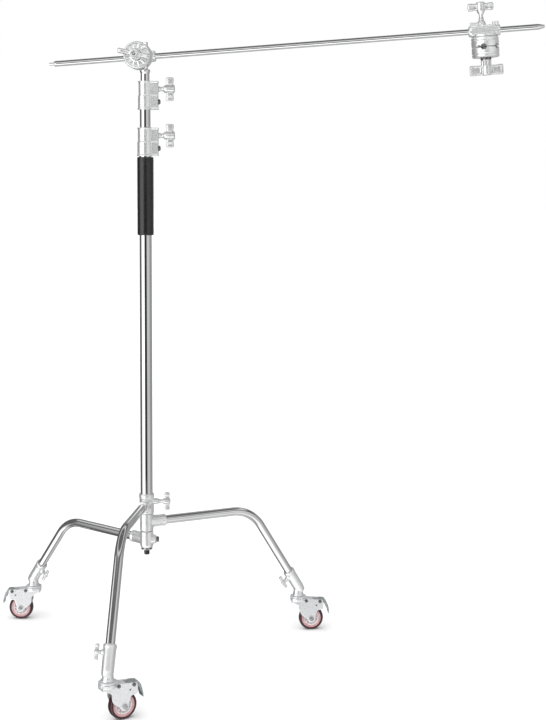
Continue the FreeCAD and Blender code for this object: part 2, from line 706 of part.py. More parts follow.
for leg_name in LEGS:
    save("leg_%s" % leg_name, leg_tube(leg_name))
    save("%s_socket" % leg_name, caster_socket(leg_name))
    save("%s_socket_screw" % leg_name, socket_screw(leg_name))
    for piece, make in (
        ("race", caster_race), ("fork", caster_fork), ("tread", wheel_tread),
        ("wheel_hub", wheel_hub), ("axle", wheel_axle), ("brake", brake_pedal),
    ):
        save("%s_%s" % (leg_name, piece), at_caster(make(), leg_name))

save("head_1_inner_jaw", at_head_1(jaw(-1), False))
save("head_1_outer_jaw", at_head_1(jaw(1), False))
save("head_1_handle", at_head_1(spun(head_handle(), HANDLE_1_TURN), False))
save("head_1_block", at_head_1(head_block(), True))
save("head_1_bolt", at_head_1(head_bolt(), True))
save("head_1_knob", at_head_1(head_knob(), True))

save("head_2_inner_jaw", at_head_2(spun(jaw(-1), JAW_2_TURN)))
save("head_2_outer_jaw", at_head_2(spun(jaw(1), JAW_2_TURN)))
save("head_2_handle", at_head_2(head_handle()))
save("head_2_block", at_head_2(head_block()))
save("head_2_bolt", at_head_2(head_bolt()))
save("head_2_knob", at_head_2(head_knob()))

save("arm_tube", arm_tube())
save("arm_pin", arm_pin())
save("arm_cap", arm_cap())
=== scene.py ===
import json
import math

import bmesh
import bpy
from mathutils import Matrix, Vector


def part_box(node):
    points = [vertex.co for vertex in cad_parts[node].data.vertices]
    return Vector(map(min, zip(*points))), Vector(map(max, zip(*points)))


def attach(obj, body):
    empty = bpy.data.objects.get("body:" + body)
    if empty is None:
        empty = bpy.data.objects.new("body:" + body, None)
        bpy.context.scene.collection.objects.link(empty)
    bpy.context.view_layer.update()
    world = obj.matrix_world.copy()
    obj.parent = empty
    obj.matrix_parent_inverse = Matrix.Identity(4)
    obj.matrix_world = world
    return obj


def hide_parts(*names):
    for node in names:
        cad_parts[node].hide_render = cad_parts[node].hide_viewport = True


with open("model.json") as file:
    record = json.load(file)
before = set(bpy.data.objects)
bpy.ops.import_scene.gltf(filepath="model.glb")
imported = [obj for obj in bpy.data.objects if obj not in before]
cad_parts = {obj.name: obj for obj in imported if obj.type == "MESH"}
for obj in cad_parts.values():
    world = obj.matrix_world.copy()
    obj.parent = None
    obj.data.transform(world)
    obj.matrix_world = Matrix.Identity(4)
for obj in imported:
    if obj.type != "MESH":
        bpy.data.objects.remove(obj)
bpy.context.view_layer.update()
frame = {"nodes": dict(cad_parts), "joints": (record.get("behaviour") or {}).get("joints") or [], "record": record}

# A rolling C-stand with a boom arm and two grip heads. Each piece is modelled in a local
# frame in millimetres, and a matrix from frame_at() carries it into the row frame in metres.

MM = 0.001
SHARP_ANGLE = 35       # degrees between faces at which an edge stays sharp
CAST_VOXEL = 0.9       # millimetres; the smallest detail of a casting
CLEARANCE = 0.3        # millimetres around a tube in its bore
UP = Vector((0, 0, 1))
RIGHT = Vector((1, 0, 0))

JOINTS = {joint["name"]: joint for joint in frame["joints"]}
MOUNTS = {mount["name"]: mount for mount in frame["record"]["mounts"]}
SLOT_OF = {part["node"]: part["material_slot"] for part in frame["record"]["subparts"]}


def joint_at(name):
    return Vector(JOINTS[name]["pos_m"])


def joint_axis(name):
    return Vector(JOINTS[name]["axis"]).normalized()


def frame_at(origin, x_dir, z_dir):
    """Matrix from a local frame in millimetres to the row frame in metres."""
    z = Vector(z_dir).normalized()
    x = Vector(x_dir)
    x = (x - z * x.dot(z)).normalized()
    y = z.cross(x)
    rotation = Matrix((x, y, z)).transposed().to_4x4()
    return Matrix.Translation(origin) @ rotation @ Matrix.Scale(MM, 4)


def turned_about_z(degrees):
    return Matrix.Rotation(math.radians(degrees), 4, "Z")


def facing(origin, z_dir, x_dir=(0, 1, 0)):
    """A frame inside another frame, all in millimetres."""
    return frame_at(origin, x_dir, z_dir) @ Matrix.Scale(1 / MM, 4)


COLUMN = frame_at((0, 0, 0), RIGHT, UP)

# ---------------------------------------------------------------- shapes


def soften(outline, radius, closed=True, steps=3):
    """The outline with each corner turned into a short curve."""
    points = [Vector(p) for p in outline]
    count = len(points)
    result = []
    for i, corner in enumerate(points):
        if not closed and i in (0, count - 1):
            result.append(corner)
            continue
        before = points[i - 1] - corner
        after = points[(i + 1) % count] - corner
        start = corner + before.normalized() * min(radius, 0.45 * before.length)
        stop = corner + after.normalized() * min(radius, 0.45 * after.length)
        for k in range(steps + 1):
            t = k / steps
            result.append(start.lerp(corner, t).lerp(corner.lerp(stop, t), t))
    return result


class Solid:
    """One or more closed shapes under construction in a local frame."""

    def __init__(self, where):
        self.bm = bmesh.new()
        self.where = where

    def _vert(self, place, x, y, z):
        return self.bm.verts.new(self.where @ (place @ Vector((x, y, z))))

    def revolve(self, outline, place=Matrix(), segments=64):
        """A solid of revolution about Z from (radius, height) corners."""
        rings = []
        for r, z in outline:
            if r < 1e-6:
                rings.append([self._vert(place, 0, 0, z)])
                continue
            ring = []
            for k in range(segments):
                turn = 2 * math.pi * k / segments
                ring.append(self._vert(place, r * math.cos(turn), r * math.sin(turn), z))
            rings.append(ring)
        if len(rings[0]) > 1 and len(rings[-1]) > 1:
            rings.append(rings[0])
        for a, b in zip(rings, rings[1:]):
            for k in range(segments):
                n = (k + 1) % segments
                if len(a) > 1 and len(b) > 1:
                    self.bm.faces.new((a[k], a[n], b[n], b[k]))
                elif len(a) > 1:
                    self.bm.faces.new((a[k], a[n], b[0]))
                elif len(b) > 1:
                    self.bm.faces.new((a[0], b[n], b[k]))
        return self

    def rod(self, radius, low, high, place=Matrix(), edge=0.0, segments=48):
        outline = [(0, low), (radius, low), (radius, high), (0, high)]
        if edge:
            outline = soften(outline, edge, closed=False)
        return self.revolve(outline, place, segments)

    def skin(self, rings):
        """Closed skin over rings of equal length, with flat ends."""
        for a, b in zip(rings, rings[1:]):
            for k in range(len(a)):
                n = (k + 1) % len(a)
                self.bm.faces.new((a[k], a[n], b[n], b[k]))
        self.bm.faces.new(rings[0])
        self.bm.faces.new(list(reversed(rings[-1])))
        return self

    def plate(self, outline, low, high, place=Matrix()):
        """An extrusion along Z of an (x, y) outline."""
        rings = []
        for z in (low, high):
            rings.append([self._vert(place, p[0], p[1], z) for p in outline])
        return self.skin(rings)

    def block(self, low, high, place=Matrix(), edge=0.0):
        """A box between two corners; its upright edges may be rounded."""
        outline = [(low[0], low[1]), (high[0], low[1]), (high[0], high[1]), (low[0], high[1])]
        if edge:
            outline = soften(outline, edge)
        return self.plate(outline, low[2], high[2], place)

    def loft(self, sections, place=Matrix(), count=28, power=0.55):
        """Rounded sections across X: (x, centre y, centre z, half y, half z)."""
        rings = []
        for x, cy, cz, hy, hz in sections:
            ring = []
            for k in range(count):
                turn = 2 * math.pi * k / count
                c, s = math.cos(turn), math.sin(turn)
                y = cy + hy * math.copysign(abs(c) ** power, c)
                z = cz + hz * math.copysign(abs(s) ** power, s)
                ring.append(self._vert(place, x, y, z))
            rings.append(ring)
        return self.skin(rings)

    def sweep(self, path, radius, count=36):
        """A round bar along (x, z) points in the frame's XZ plane."""
        points = [Vector(p) for p in path]
        rings = []
        for i, point in enumerate(points):
            ahead = points[min(i + 1, len(points) - 1)] - points[max(i - 1, 0)]
            along = ahead.normalized()
            ring = []
            for k in range(count):
                turn = 2 * math.pi * k / count
                side, lift = radius * math.cos(turn), radius * math.sin(turn)
                x, z = point.x - along.y * lift, point.y + along.x * lift
                ring.append(self._vert(Matrix(), x, side, z))
            rings.append(ring)
        return self.skin(rings)

    def mesh(self, name):
        bmesh.ops.recalc_face_normals(self.bm, faces=self.bm.faces)
        mesh = bpy.data.meshes.new(name)
        self.bm.to_mesh(mesh)
        self.bm.free()
        return mesh

    def object(self, name):
        obj = bpy.data.objects.new(name, self.mesh(name))
        bpy.context.scene.collection.objects.link(obj)
        return obj


def bake(obj):
    """Applies the object's modifiers to its mesh."""
    graph = bpy.context.evaluated_depsgraph_get()
    mesh = bpy.data.meshes.new_from_object(obj.evaluated_get(graph))
    old = obj.data
    obj.modifiers.clear()
    obj.data = mesh
    bpy.data.meshes.remove(old)


def cut_away(obj, cutter):
    """Takes the cutter's solids out of the object."""
    tool = cutter.object("cutter")
    cut = obj.modifiers.new("cut", "BOOLEAN")
    cut.operation = "DIFFERENCE"
    cut.solver = "EXACT"
    cut.use_self = True
    cut.object = tool
    bake(obj)
    mesh = tool.data
    bpy.data.objects.remove(tool)
    bpy.data.meshes.remove(mesh)


def cast_over(obj, voxel, passes):
    """Melts the overlapping solids into one casting with soft inner and outer edges."""
    melt = obj.modifiers.new("melt", "REMESH")
    melt.mode = "VOXEL"
    melt.voxel_size = voxel * MM
    ease = obj.modifiers.new("ease", "SMOOTH")
    ease.factor = 0.5
    ease.iterations = passes
    bake(obj)


def piece(name, solid, material, body, replaces=(), cutter=None, voxel=0.0, passes=4):
    """Finishes a solid into a visible piece that rides on a body."""
    obj = solid.object(name)
    if cutter:
        cut_away(obj, cutter)
    if voxel:
        cast_over(obj, voxel, passes)
    mesh = obj.data
    mesh.polygons.foreach_set("use_smooth", [True] * len(mesh.polygons))
    mesh.set_sharp_from_angle(angle=math.radians(SHARP_ANGLE))
    mesh.materials.clear()
    mesh.materials.append(material)
    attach(obj, body)
    if replaces:
        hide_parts(*replaces)


# ---------------------------------------------------------------- materials


def fill_ramp(node, stops):
    """Sets a colour ramp's (position, colour) stops, which come in rising order."""
    elements = node.color_ramp.elements
    elements.remove(elements[1])
    elements[0].position = stops[0][0]
    elements[0].color = (*stops[0][1], 1.0)
    for position, colour in stops[1:]:
        elements.new(position).color = (*colour, 1.0)


NOISE_LOW, NOISE_HIGH = 0.3, 0.7       # the range that a noise mostly keeps to


class Shader:
    """A node material around one Principled shader, textured in object space."""

    def __init__(self, name, **values):
        self.material = bpy.data.materials.new(name)
        self.material.use_nodes = True
        self.nodes = self.material.node_tree.nodes
        self.links = self.material.node_tree.links
        self.shader = self.nodes["Principled BSDF"]
        self.place = self.nodes.new("ShaderNodeTexCoord").outputs["Object"]
        for socket, value in values.items():
            self.shader.inputs[socket.replace("_", " ")].default_value = value

    def noise(self, scale, detail=4.0, stretch=(1, 1, 1)):
        """Noise with so many features per metre."""
        mapping = self.nodes.new("ShaderNodeMapping")
        mapping.inputs["Scale"].default_value = stretch
        texture = self.nodes.new("ShaderNodeTexNoise")
        texture.inputs["Scale"].default_value = scale
        texture.inputs["Detail"].default_value = detail
        self.links.new(self.place, mapping.inputs["Vector"])
        self.links.new(mapping.outputs["Vector"], texture.inputs["Vector"])
        return texture.outputs["Fac"]

    def ramp(self, source, stops):
        ramp = self.nodes.new("ShaderNodeValToRGB")
        fill_ramp(ramp, stops)
        self.links.new(source, ramp.inputs["Fac"])
        return ramp.outputs["Color"]

    def spread(self, source, low, high):
        """A value between two limits that follows a noise."""
        remap = self.nodes.new("ShaderNodeMapRange")
        remap.inputs["From Min"].default_value = NOISE_LOW
        remap.inputs["From Max"].default_value = NOISE_HIGH
        remap.inputs["To Min"].default_value = low
        remap.inputs["To Max"].default_value = high
        self.links.new(source, remap.inputs["Value"])
        return remap.outputs["Result"]

    def colour(self, source):
        self.links.new(source, self.shader.inputs["Base Color"])

    def roughness(self, source):
        self.links.new(source, self.shader.inputs["Roughness"])

    def bump(self, source, distance, strength=1.0):
        bump = self.nodes.new("ShaderNodeBump")
        bump.inputs["Distance"].default_value = distance
        bump.inputs["Strength"].default_value = strength
        self.links.new(source, bump.inputs["Height"])
        self.links.new(bump.outputs["Normal"], self.shader.inputs["Normal"])

    def shade_creases(self, low, high, shade_colour, source):
        """The colour with painted shade: darker in creases, where the surface folds inward."""
        point = self.nodes.new("ShaderNodeNewGeometry").outputs["Pointiness"]
        plain = (1, 1, 1)
        # Painted shade: low pointiness (a crease) turns the colour towards the shade colour.
        shade_ramp = self.ramp(point, [(0.40, shade_colour), (low, plain), (high, plain), (0.60, plain)])
        mix = self.nodes.new("ShaderNodeMix")
        mix.data_type = "RGBA"
        mix.blend_type = "MULTIPLY"
        mix.inputs["Factor"].default_value = 1.0
        self.links.new(source, mix.inputs["A"])
        self.links.new(shade_ramp, mix.inputs["B"])
        return mix.outputs["Result"]


def grey(value, tint=0.0):
    """A near-neutral colour; a positive tint leans to blue."""
    return (value * (1 - tint), value, value * (1 + tint))


def finish(name, tone_noise, low, high, rough_noise, rough, grain, crease_shade=None, tone_from=NOISE_LOW,
           **values):
    """A material whose colour and roughness wander with noise, over a fine grain, with painted shade in its
    creases when asked.
    """
    s = Shader(name, **values)
    tone = s.ramp(s.noise(*tone_noise), [(tone_from, low), (NOISE_HIGH, high)])
    # Painted shade: the colour is darkened where pointiness marks a crease.
    if crease_shade:
        tone = s.shade_creases(*crease_shade, tone)
    s.colour(tone)
    s.roughness(s.spread(s.noise(*rough_noise), *rough))
    grain_noise, distance, strength = grain
    s.bump(s.noise(*grain_noise), distance, strength)
    return s.material


def satin(name, low, high):
    # Painted shade darkens the casting's creases.
    return finish(
        name, (70, 5), grey(low, 0.004), grey(high, 0.004), (160, 4), (0.27, 0.36),
        ((900, 2), 0.00003, 0.25), crease_shade=(0.46, 0.54, (0.62, 0.62, 0.63)), Metallic=0.8)


def floor_paint():
    s = Shader("floor_paint", Specular_IOR_Level=0.0, Roughness=0.9)
    s.colour(s.ramp(s.noise(0.7, 3), [(NOISE_LOW, grey(0.94)), (NOISE_HIGH, grey(0.96))]))
    s.bump(s.noise(40, 3), 0.0004, 0.1)
    return s.material


STEEL = finish(
    "polished_steel", (9, 3, (1, 1, 0.2)), grey(0.80, 0.004), grey(0.90, 0.004), (60, 6, (1, 1, 0.25)),
    (0.07, 0.13), ((2600, 2, (1, 1, 0.06)), 0.00001, 0.1), tone_from=0.35, Metallic=1.0)
CASTING = satin("satin_casting", 0.90, 0.97)
KNOB = satin("satin_knob", 0.78, 0.87)
# Painted shade darkens the zinc's creases.
ZINC = finish(
    "bright_zinc", (110, 5), (0.86, 0.87, 0.88), (0.93, 0.94, 0.95), (300, 6), (0.26, 0.38),
    ((900, 4), 0.00005, 0.3), crease_shade=(0.48, 0.52, (0.6, 0.62, 0.64)), Metallic=0.65)
DARK = finish(
    "dark_fastener", (300, 4), grey(0.16), grey(0.26), (500, 4), (0.28, 0.42),
    ((1500, 2), 0.00004, 0.3), Metallic=1.0)
FASTENER = finish(
    "plain_fastener", (260, 4), grey(0.52), grey(0.66), (500, 4), (0.22, 0.34),
    ((1500, 2), 0.00004, 0.3), Metallic=1.0)
RUBBER = finish(
    "sleeve_rubber", (140, 6), grey(0.006), grey(0.012), (420, 5), (0.22, 0.30),
    ((1300, 4), 0.00006, 0.25), Metallic=0.0, Specular_IOR_Level=0.7)
TREAD = finish(
    "maroon_tread", (90, 5), (0.026, 0.007, 0.009), (0.048, 0.011, 0.016), (350, 5), (0.28, 0.45),
    ((700, 4), 0.0001, 0.3), Metallic=0.0, Coat_Weight=0.25, Coat_Roughness=0.2)
RING = finish(
    "pink_ring", (120, 4), (0.48, 0.25, 0.26), (0.62, 0.37, 0.38), (350, 4), (0.25, 0.4),
    ((900, 3), 0.00005, 0.3), Metallic=0.0, Coat_Weight=0.3, Coat_Roughness=0.15)
CORE = finish(
    "pale_core", (150, 4), (0.68, 0.63, 0.64), (0.82, 0.77, 0.78), (350, 4), (0.32, 0.48),
    ((800, 4), 0.00006, 0.3), Metallic=0.0)
# Painted shade darkens the pedal's creases.
PEDAL = finish(
    "pedal_grey", (120, 5), (0.32, 0.36, 0.355), (0.44, 0.48, 0.475), (300, 5), (0.3, 0.45),
    ((700, 4), 0.00006, 0.3), crease_shade=(0.48, 0.52, (0.6, 0.62, 0.62)), Metallic=0.6)

SLOT_FINISH = {
    "steel_tube": STEEL, "cast_metal": CASTING, "knob_metal": KNOB, "fork_zinc": ZINC,
    "fastener": FASTENER, "grip_rubber": RUBBER, "wheel_tread": TREAD, "wheel_core": CORE,
}
for node_name, node in frame["nodes"].items():
    node.data.materials.clear()
    node.data.materials.append(SLOT_FINISH[SLOT_OF[node_name]])

# ---------------------------------------------------------------- column

TUBE_WALL = 1.5
STUD_R = 8.0


def node_span(node):
    """Radius, bottom and top of an upright round node, in millimetres."""
    low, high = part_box(node)
    return (high.x - low.x) / 2 / MM, low.z / MM, high.z / MM


def tube_wall(outer, inner, low, high, edge):
    """A tube's section; the points near its ends keep the long face's shading straight."""
    near = 4.0
    outside = [(outer, low), (outer, low + near), (outer, high - near), (outer, high)]
    return soften(outside + [(inner, high), (inner, low)], edge)


def straight_tube(name, node, body):
    radius, bottom, top = node_span(node)
    inner = radius - TUBE_WALL
    outline = tube_wall(radius, inner, bottom, top, 0.5)
    piece(name, Solid(COLUMN).revolve(outline, segments=96), STEEL, body, [node])
    return radius


TUBE_R = [
    straight_tube("lower_tube", "tube_1", "column"),
    straight_tube("middle_tube", "tube_2", "riser_2"),
    straight_tube("upper_tube", "tube_3", "riser_3"),
]


def foam_sleeve():
    """A moulded sleeve with rolled ends and a shallow ring near each end."""
    radius, bottom, top = node_span("grip_sleeve")
    bore = TUBE_R[0] + 0.05
    groove = 0.7
    outline = [(bore, bottom), (radius, bottom), (radius, top), (bore, top)]
    body = Solid(COLUMN).revolve(soften(outline, 3.5, steps=5), segments=96)
    piece("foam_sleeve", body, RUBBER, "column", ["grip_sleeve"])
    for k, z in enumerate((bottom + 9, top - 9)):
        rim = radius + 0.25
        band = [(radius - groove, z - 1), (rim, z - 0.5), (rim, z + 0.5), (radius - groove, z + 1)]
        ring = Solid(COLUMN).revolve(soften(band, 0.3), segments=96)
        piece("sleeve_band_%d" % (k + 1), ring, RUBBER, "column")


foam_sleeve()

COLLAR_STEP = 40.0
COLLAR_BOLT_UP = 22.0
EAR_X = 38.0
EAR_HALF = 12.0


def collar_outline(radius, reach, half):
    """A round collar with a flat-sided ear that reaches to +X."""
    start = math.asin(half / radius)
    points = [(reach, -half), (reach, half)]
    steps = 28
    for k in range(steps + 1):
        turn = start + (2 * math.pi - 2 * start) * k / steps
        points.append((radius * math.cos(turn), radius * math.sin(turn)))
    return points


def collar(number, body):
    """Clamp collar: a wide lower half, a narrower upper half, and flanges around both ends."""
    node = "collar_%d" % number
    low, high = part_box(node)
    bottom, top = low.z / MM, high.z / MM
    outer, inner = TUBE_R[number - 1], TUBE_R[number]
    step = bottom + COLLAR_STEP
    flange = 3.5
    low_r, high_r = outer + 5.0, outer + 3.4
    shell = Solid(COLUMN)
    shell.plate(collar_outline(low_r, EAR_X - 1, EAR_HALF), bottom + 1, step - 0.6)
    shell.plate(collar_outline(high_r, EAR_X - 1, EAR_HALF - 0.8), step - 2, top - 1)
    shell.plate(collar_outline(low_r + 1.6, EAR_X, EAR_HALF + 1), bottom, bottom + flange)
    shell.plate(collar_outline(high_r + 1.8, EAR_X, EAR_HALF + 0.2), top - flange, top)
    knob = joint_at(node + "_knob_turn") / MM
    shell.rod(9.0, 12, EAR_X, facing(Vector((0, 0, knob.z)), RIGHT), edge=1.0)
    bores = Solid(COLUMN)
    bores.rod(outer + CLEARANCE, bottom - 5, step - 4, segments=96)
    bores.rod(inner + CLEARANCE, bottom, top + 5, segments=96)
    piece(node + "_casting", shell, CASTING, body, [node], cutter=bores, voxel=CAST_VOXEL)
    bolt_z = bottom + COLLAR_BOLT_UP
    head = Solid(frame_at(Vector((0, 0, bolt_z)) * MM, UP, RIGHT))
    profile = [
        (0, EAR_X - 2), (7.5, EAR_X - 2), (7.5, EAR_X + 2.5), (5.2, EAR_X + 5.4), (3.4, EAR_X + 5.6),
        (3.0, EAR_X + 2.6), (0, EAR_X + 2.6),
    ]
    head.revolve(soften(profile, 1.0, closed=False), segments=40)
    piece(node + "_bolt_head", head, DARK, body, [node + "_bolt"])
    near, far = inner + 0.15, inner + 2.0
    wiper = Solid(COLUMN)
    wiper.revolve([(near, top - 1), (far, top - 1), (far, top + 0.6), (near, top + 0.6)], segments=96)
    piece(node + "_wiper", wiper, RUBBER, body)


collar(1, "column")
collar(2, "riser_2")


def stud_plug():
    """The upper tube's plug with its thick rim and the plain stud."""
    _, _, top = node_span("stud")
    _, _, tube_top = node_span("tube_3")
    tube = TUBE_R[2]
    outline = [
        (0, tube_top - 25), (tube - 1.7, tube_top - 25), (tube - 1.7, tube_top), (tube, tube_top),
        (tube + 2, tube_top + 4), (tube + 2, tube_top + 9), (tube, tube_top + 11),
        (STUD_R, tube_top + 12), (STUD_R, top), (0, top),
    ]
    solid = Solid(COLUMN).revolve(soften(outline, 1.2, closed=False), segments=96)
    piece("stud_plug", solid, STEEL, "riser_3", ["stud"])


stud_plug()

# ---------------------------------------------------------------- T-knobs


def t_knob(name, where, body, node, *, length, depth, thick, boss_r, stem_r, stem_length, neck,
           voxel=0.7):
    """A cast T-knob: waisted neck, round boss and two wings with full, rounded tips."""
    half = length / 2
    mid = neck + depth / 2
    wing = depth * 0.36
    tip = depth * 0.40
    knob = Solid(where)
    sections = []
    for share, reach, width in (
        (-1.0, tip * 0.55, thick * 0.30), (-0.975, tip * 0.82, thick * 0.42), (-0.92, tip, thick * 0.50),
        (-0.75, tip, thick * 0.50), (-0.55, wing, thick * 0.40), (-0.3, wing, thick * 0.44),
        (0.0, depth * 0.42, thick * 0.5),
        (0.3, wing, thick * 0.44), (0.55, wing, thick * 0.40), (0.75, tip, thick * 0.50),
        (0.92, tip, thick * 0.50), (0.975, tip * 0.82, thick * 0.42), (1.0, tip * 0.55, thick * 0.30),
    ):
        sections.append((share * half, 0, mid, width, reach))
    knob.loft(sections, power=0.6)
    top = neck + depth
    profile = [
        (0, 0.4), (stem_r + 2.8, 0.4), (stem_r + 2.8, 2.2), (stem_r + 0.6, neck * 0.45),
        (stem_r + 1.2, neck * 0.7), (boss_r * 0.92, neck + 0.5), (boss_r, neck + depth * 0.25),
        (boss_r, top - 2), (boss_r - 2.2, top), (0, top),
    ]
    knob.revolve(soften(profile, 1.6, closed=False), segments=48)
    piece(name, knob, KNOB, body, [node], voxel=voxel, passes=3)
    stem = Solid(where).rod(stem_r, -stem_length, 3.0, edge=0.6, segments=32)
    piece(name + "_screw", stem, FASTENER, body)


STEM_SHORT = 0.8       # millimetres between a loose screw's tip and the tube that it clamps

for number, inner_r in ((1, TUBE_R[1]), (2, TUBE_R[2])):
    knob_name = "collar_%d_knob" % number
    turn_joint = knob_name + "_turn"
    t_knob(knob_name + "_cast", frame_at(joint_at(turn_joint), UP, joint_axis(turn_joint)),
           knob_name, knob_name, length=66, depth=28, thick=12, boss_r=12, stem_r=5.0,
           stem_length=EAR_X - inner_r - STEM_SHORT, neck=18)

BASE_BOSS_X = 34.0
t_knob("base_knob_cast", frame_at(joint_at("base_knob_turn"), UP, RIGHT), "base_knob", "base_knob",
       length=52, depth=19, thick=10, boss_r=9, stem_r=4.0,
       stem_length=BASE_BOSS_X - TUBE_R[0] - STEM_SHORT, neck=16, voxel=0.6)

# ---------------------------------------------------------------- base and legs

LEGS = ("front", "right", "left")
LEG_BODY = {"front": "base", "right": "right_leg", "left": "left_leg"}
LEG_R = 12.5
LEG_START = 24.0
BEND_AT = 337.0
BEND_R = 110.0
LEG_END = Vector((509.0, 121.0))
SOCKET_LENGTH = 83.0
SWIVEL_AT = 500.0
MOUTH_FROM = 6
MOUTH_AT = 57.0
POST_R = 13.0
HUB_HALF = 25.0
RECEIVER_BOTTOM = 422.0
TUBE_SEAT_Z = 427.0
BASE_KNOB_Z = 457.0
PLUNGER_Z = 344.0
SCREW_BOSS = 22.0


def leg_frame(leg):
    """Origin on the column's axis at the floor, +X out along the leg."""
    foot = joint_at(leg + "_swivel")
    return frame_at((0, 0, 0), (foot.x, foot.y, 0), UP)


def leg_height(leg):
    """Height of the leg's level run."""
    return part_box("leg_" + leg)[1].z / MM - LEG_R


def leg_down(leg):
    """Unit (x, z) direction of the slanted run."""
    return (LEG_END - Vector((BEND_AT, leg_height(leg)))).normalized()


def leg_tube(leg):
    top = leg_height(leg)
    down = leg_down(leg)
    slope = math.atan2(-down.y, down.x)
    tangent = BEND_R * math.tan(slope / 2)
    start = BEND_AT - tangent
    path = [(LEG_START + 2, top), (start - 60, top), (start - 8, top)]
    steps = 22
    for k in range(steps + 1):
        turn = slope * k / steps
        path.append((start + BEND_R * math.sin(turn), top - BEND_R * (1 - math.cos(turn))))
    bend_end = Vector((BEND_AT, top)) + down * tangent
    for share in (0.06, 0.5, 1.0):
        point = bend_end.lerp(LEG_END - down * 14, share)
        path.append((point.x, point.y))
    solid = Solid(leg_frame(leg)).sweep(path, LEG_R, count=48)
    piece("%s_leg_tube" % leg, solid, STEEL, LEG_BODY[leg], ["leg_" + leg])


def leg_mouth(solid, leg):
    """The tapered socket that holds the leg's inner end, with a rim at its mouth."""
    top = leg_height(leg)
    place = facing(Vector((0, 0, top)), RIGHT)
    profile = [
        (0, MOUTH_FROM), (18.0, MOUTH_FROM), (16.0, MOUTH_AT - 9), (17.2, MOUTH_AT - 7), (17.2, MOUTH_AT),
        (0, MOUTH_AT),
    ]
    solid.revolve(soften(profile, 1.2, closed=False), place)


def receiver():
    """The top casting with its rim, the knob's boss and the front leg's socket."""
    where = leg_frame("front")
    bottom, top = RECEIVER_BOTTOM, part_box("base_receiver")[1].z / MM
    radius = 21.0
    body = Solid(where)
    profile = [
        (0, bottom), (radius - 1, bottom), (radius, bottom + 1.5), (radius, top - 12),
        (radius + 1, top - 10), (radius + 1, top - 2), (radius - 0.5, top), (0, top),
    ]
    body.revolve(soften(profile, 1.2, closed=False), segments=96)
    leg_mouth(body, "front")
    boss = Solid(COLUMN).rod(8.5, 8, BASE_BOSS_X, facing(Vector((0, 0, BASE_KNOB_Z)), RIGHT), edge=1.0)
    join(body, boss)
    bores = Solid(where).rod(TUBE_R[0] + CLEARANCE, TUBE_SEAT_Z, top + 5, segments=96)
    bores.rod(POST_R + CLEARANCE, bottom - 5, TUBE_SEAT_Z + 3, segments=96)
    piece("receiver_casting", body, CASTING, "base", ["base_receiver"],
          voxel=CAST_VOXEL, cutter=bores)


def join(solid, other):
    """Adds another solid's shapes, which are already in the row frame."""
    mesh = other.mesh("joined")
    solid.bm.from_mesh(mesh)
    bpy.data.meshes.remove(mesh)
    return solid


def folding_hub(leg):
    """A leg hub on the post; the lowest has a round foot and the plunger's lug."""
    bottom, top = leg_height(leg) - HUB_HALF, leg_height(leg) + HUB_HALF
    body = Solid(leg_frame(leg))
    radius = 19.5
    foot = 7.0 if leg == "left" else 1.2
    profile = [
        (0, bottom), (radius - foot, bottom), (radius - foot * 0.3, bottom + foot * 0.3),
        (radius, bottom + foot), (radius, top - 1.2), (radius - 1.2, top), (0, top),
    ]
    body.revolve(soften(profile, foot * 0.4, closed=False), segments=96)
    leg_mouth(body, leg)
    if leg == "left":
        lug = Solid(COLUMN)
        place = facing(Vector((0, 0, PLUNGER_Z)), RIGHT)
        lug.revolve(soften([(0, 8), (15.5, 8), (13.0, 25), (8.5, 29), (0, 29)], 1.5, closed=False), place)
        join(body, lug)
    bores = Solid(leg_frame(leg)).rod(POST_R + CLEARANCE, bottom - 5, top + 5, segments=96)
    piece("%s_hub_casting" % leg, body, CASTING, LEG_BODY[leg], ["hub_" + leg],
          voxel=CAST_VOXEL, cutter=bores)
    if leg == "left":
        pull = Solid(frame_at(Vector((0, 0, PLUNGER_Z)) * MM, UP, RIGHT))
        stem = POST_R + 0.4
        profile = [(0, stem), (5, stem), (5, 29.4), (8, 29.4), (8, 34), (6.5, 35.5), (0, 35.5)]
        pull.revolve(soften(profile, 0.8, closed=False), segments=40)
        piece("plunger_pull", pull, DARK, "lock_plunger", ["lock_plunger"])


def post_and_button():
    """The post that the hubs turn on, with its flange, and the rubber button under it."""
    _, bottom, top = node_span("base_post")
    outline = [
        (9, bottom), (16.5, bottom), (16.5, bottom + 3), (POST_R, bottom + 3), (POST_R, top), (9, top),
    ]
    post = Solid(COLUMN).revolve(soften(outline, 0.5), segments=64)
    piece("hub_post", post, FASTENER, "base", ["base_post"])
    radius, low, high = node_span("end_button")
    profile = [
        (0, low), (radius - 1, low), (radius, low + 3), (radius, low + 13), (radius - 1, high), (0, high),
    ]
    button = Solid(COLUMN).revolve(soften(profile, 1.5, closed=False), segments=48)
    piece("button_cap", button, RUBBER, "base", ["end_button"])


receiver()
for leg_name in ("right", "left"):
    folding_hub(leg_name)
post_and_button()

# ---------------------------------------------------------------- casters


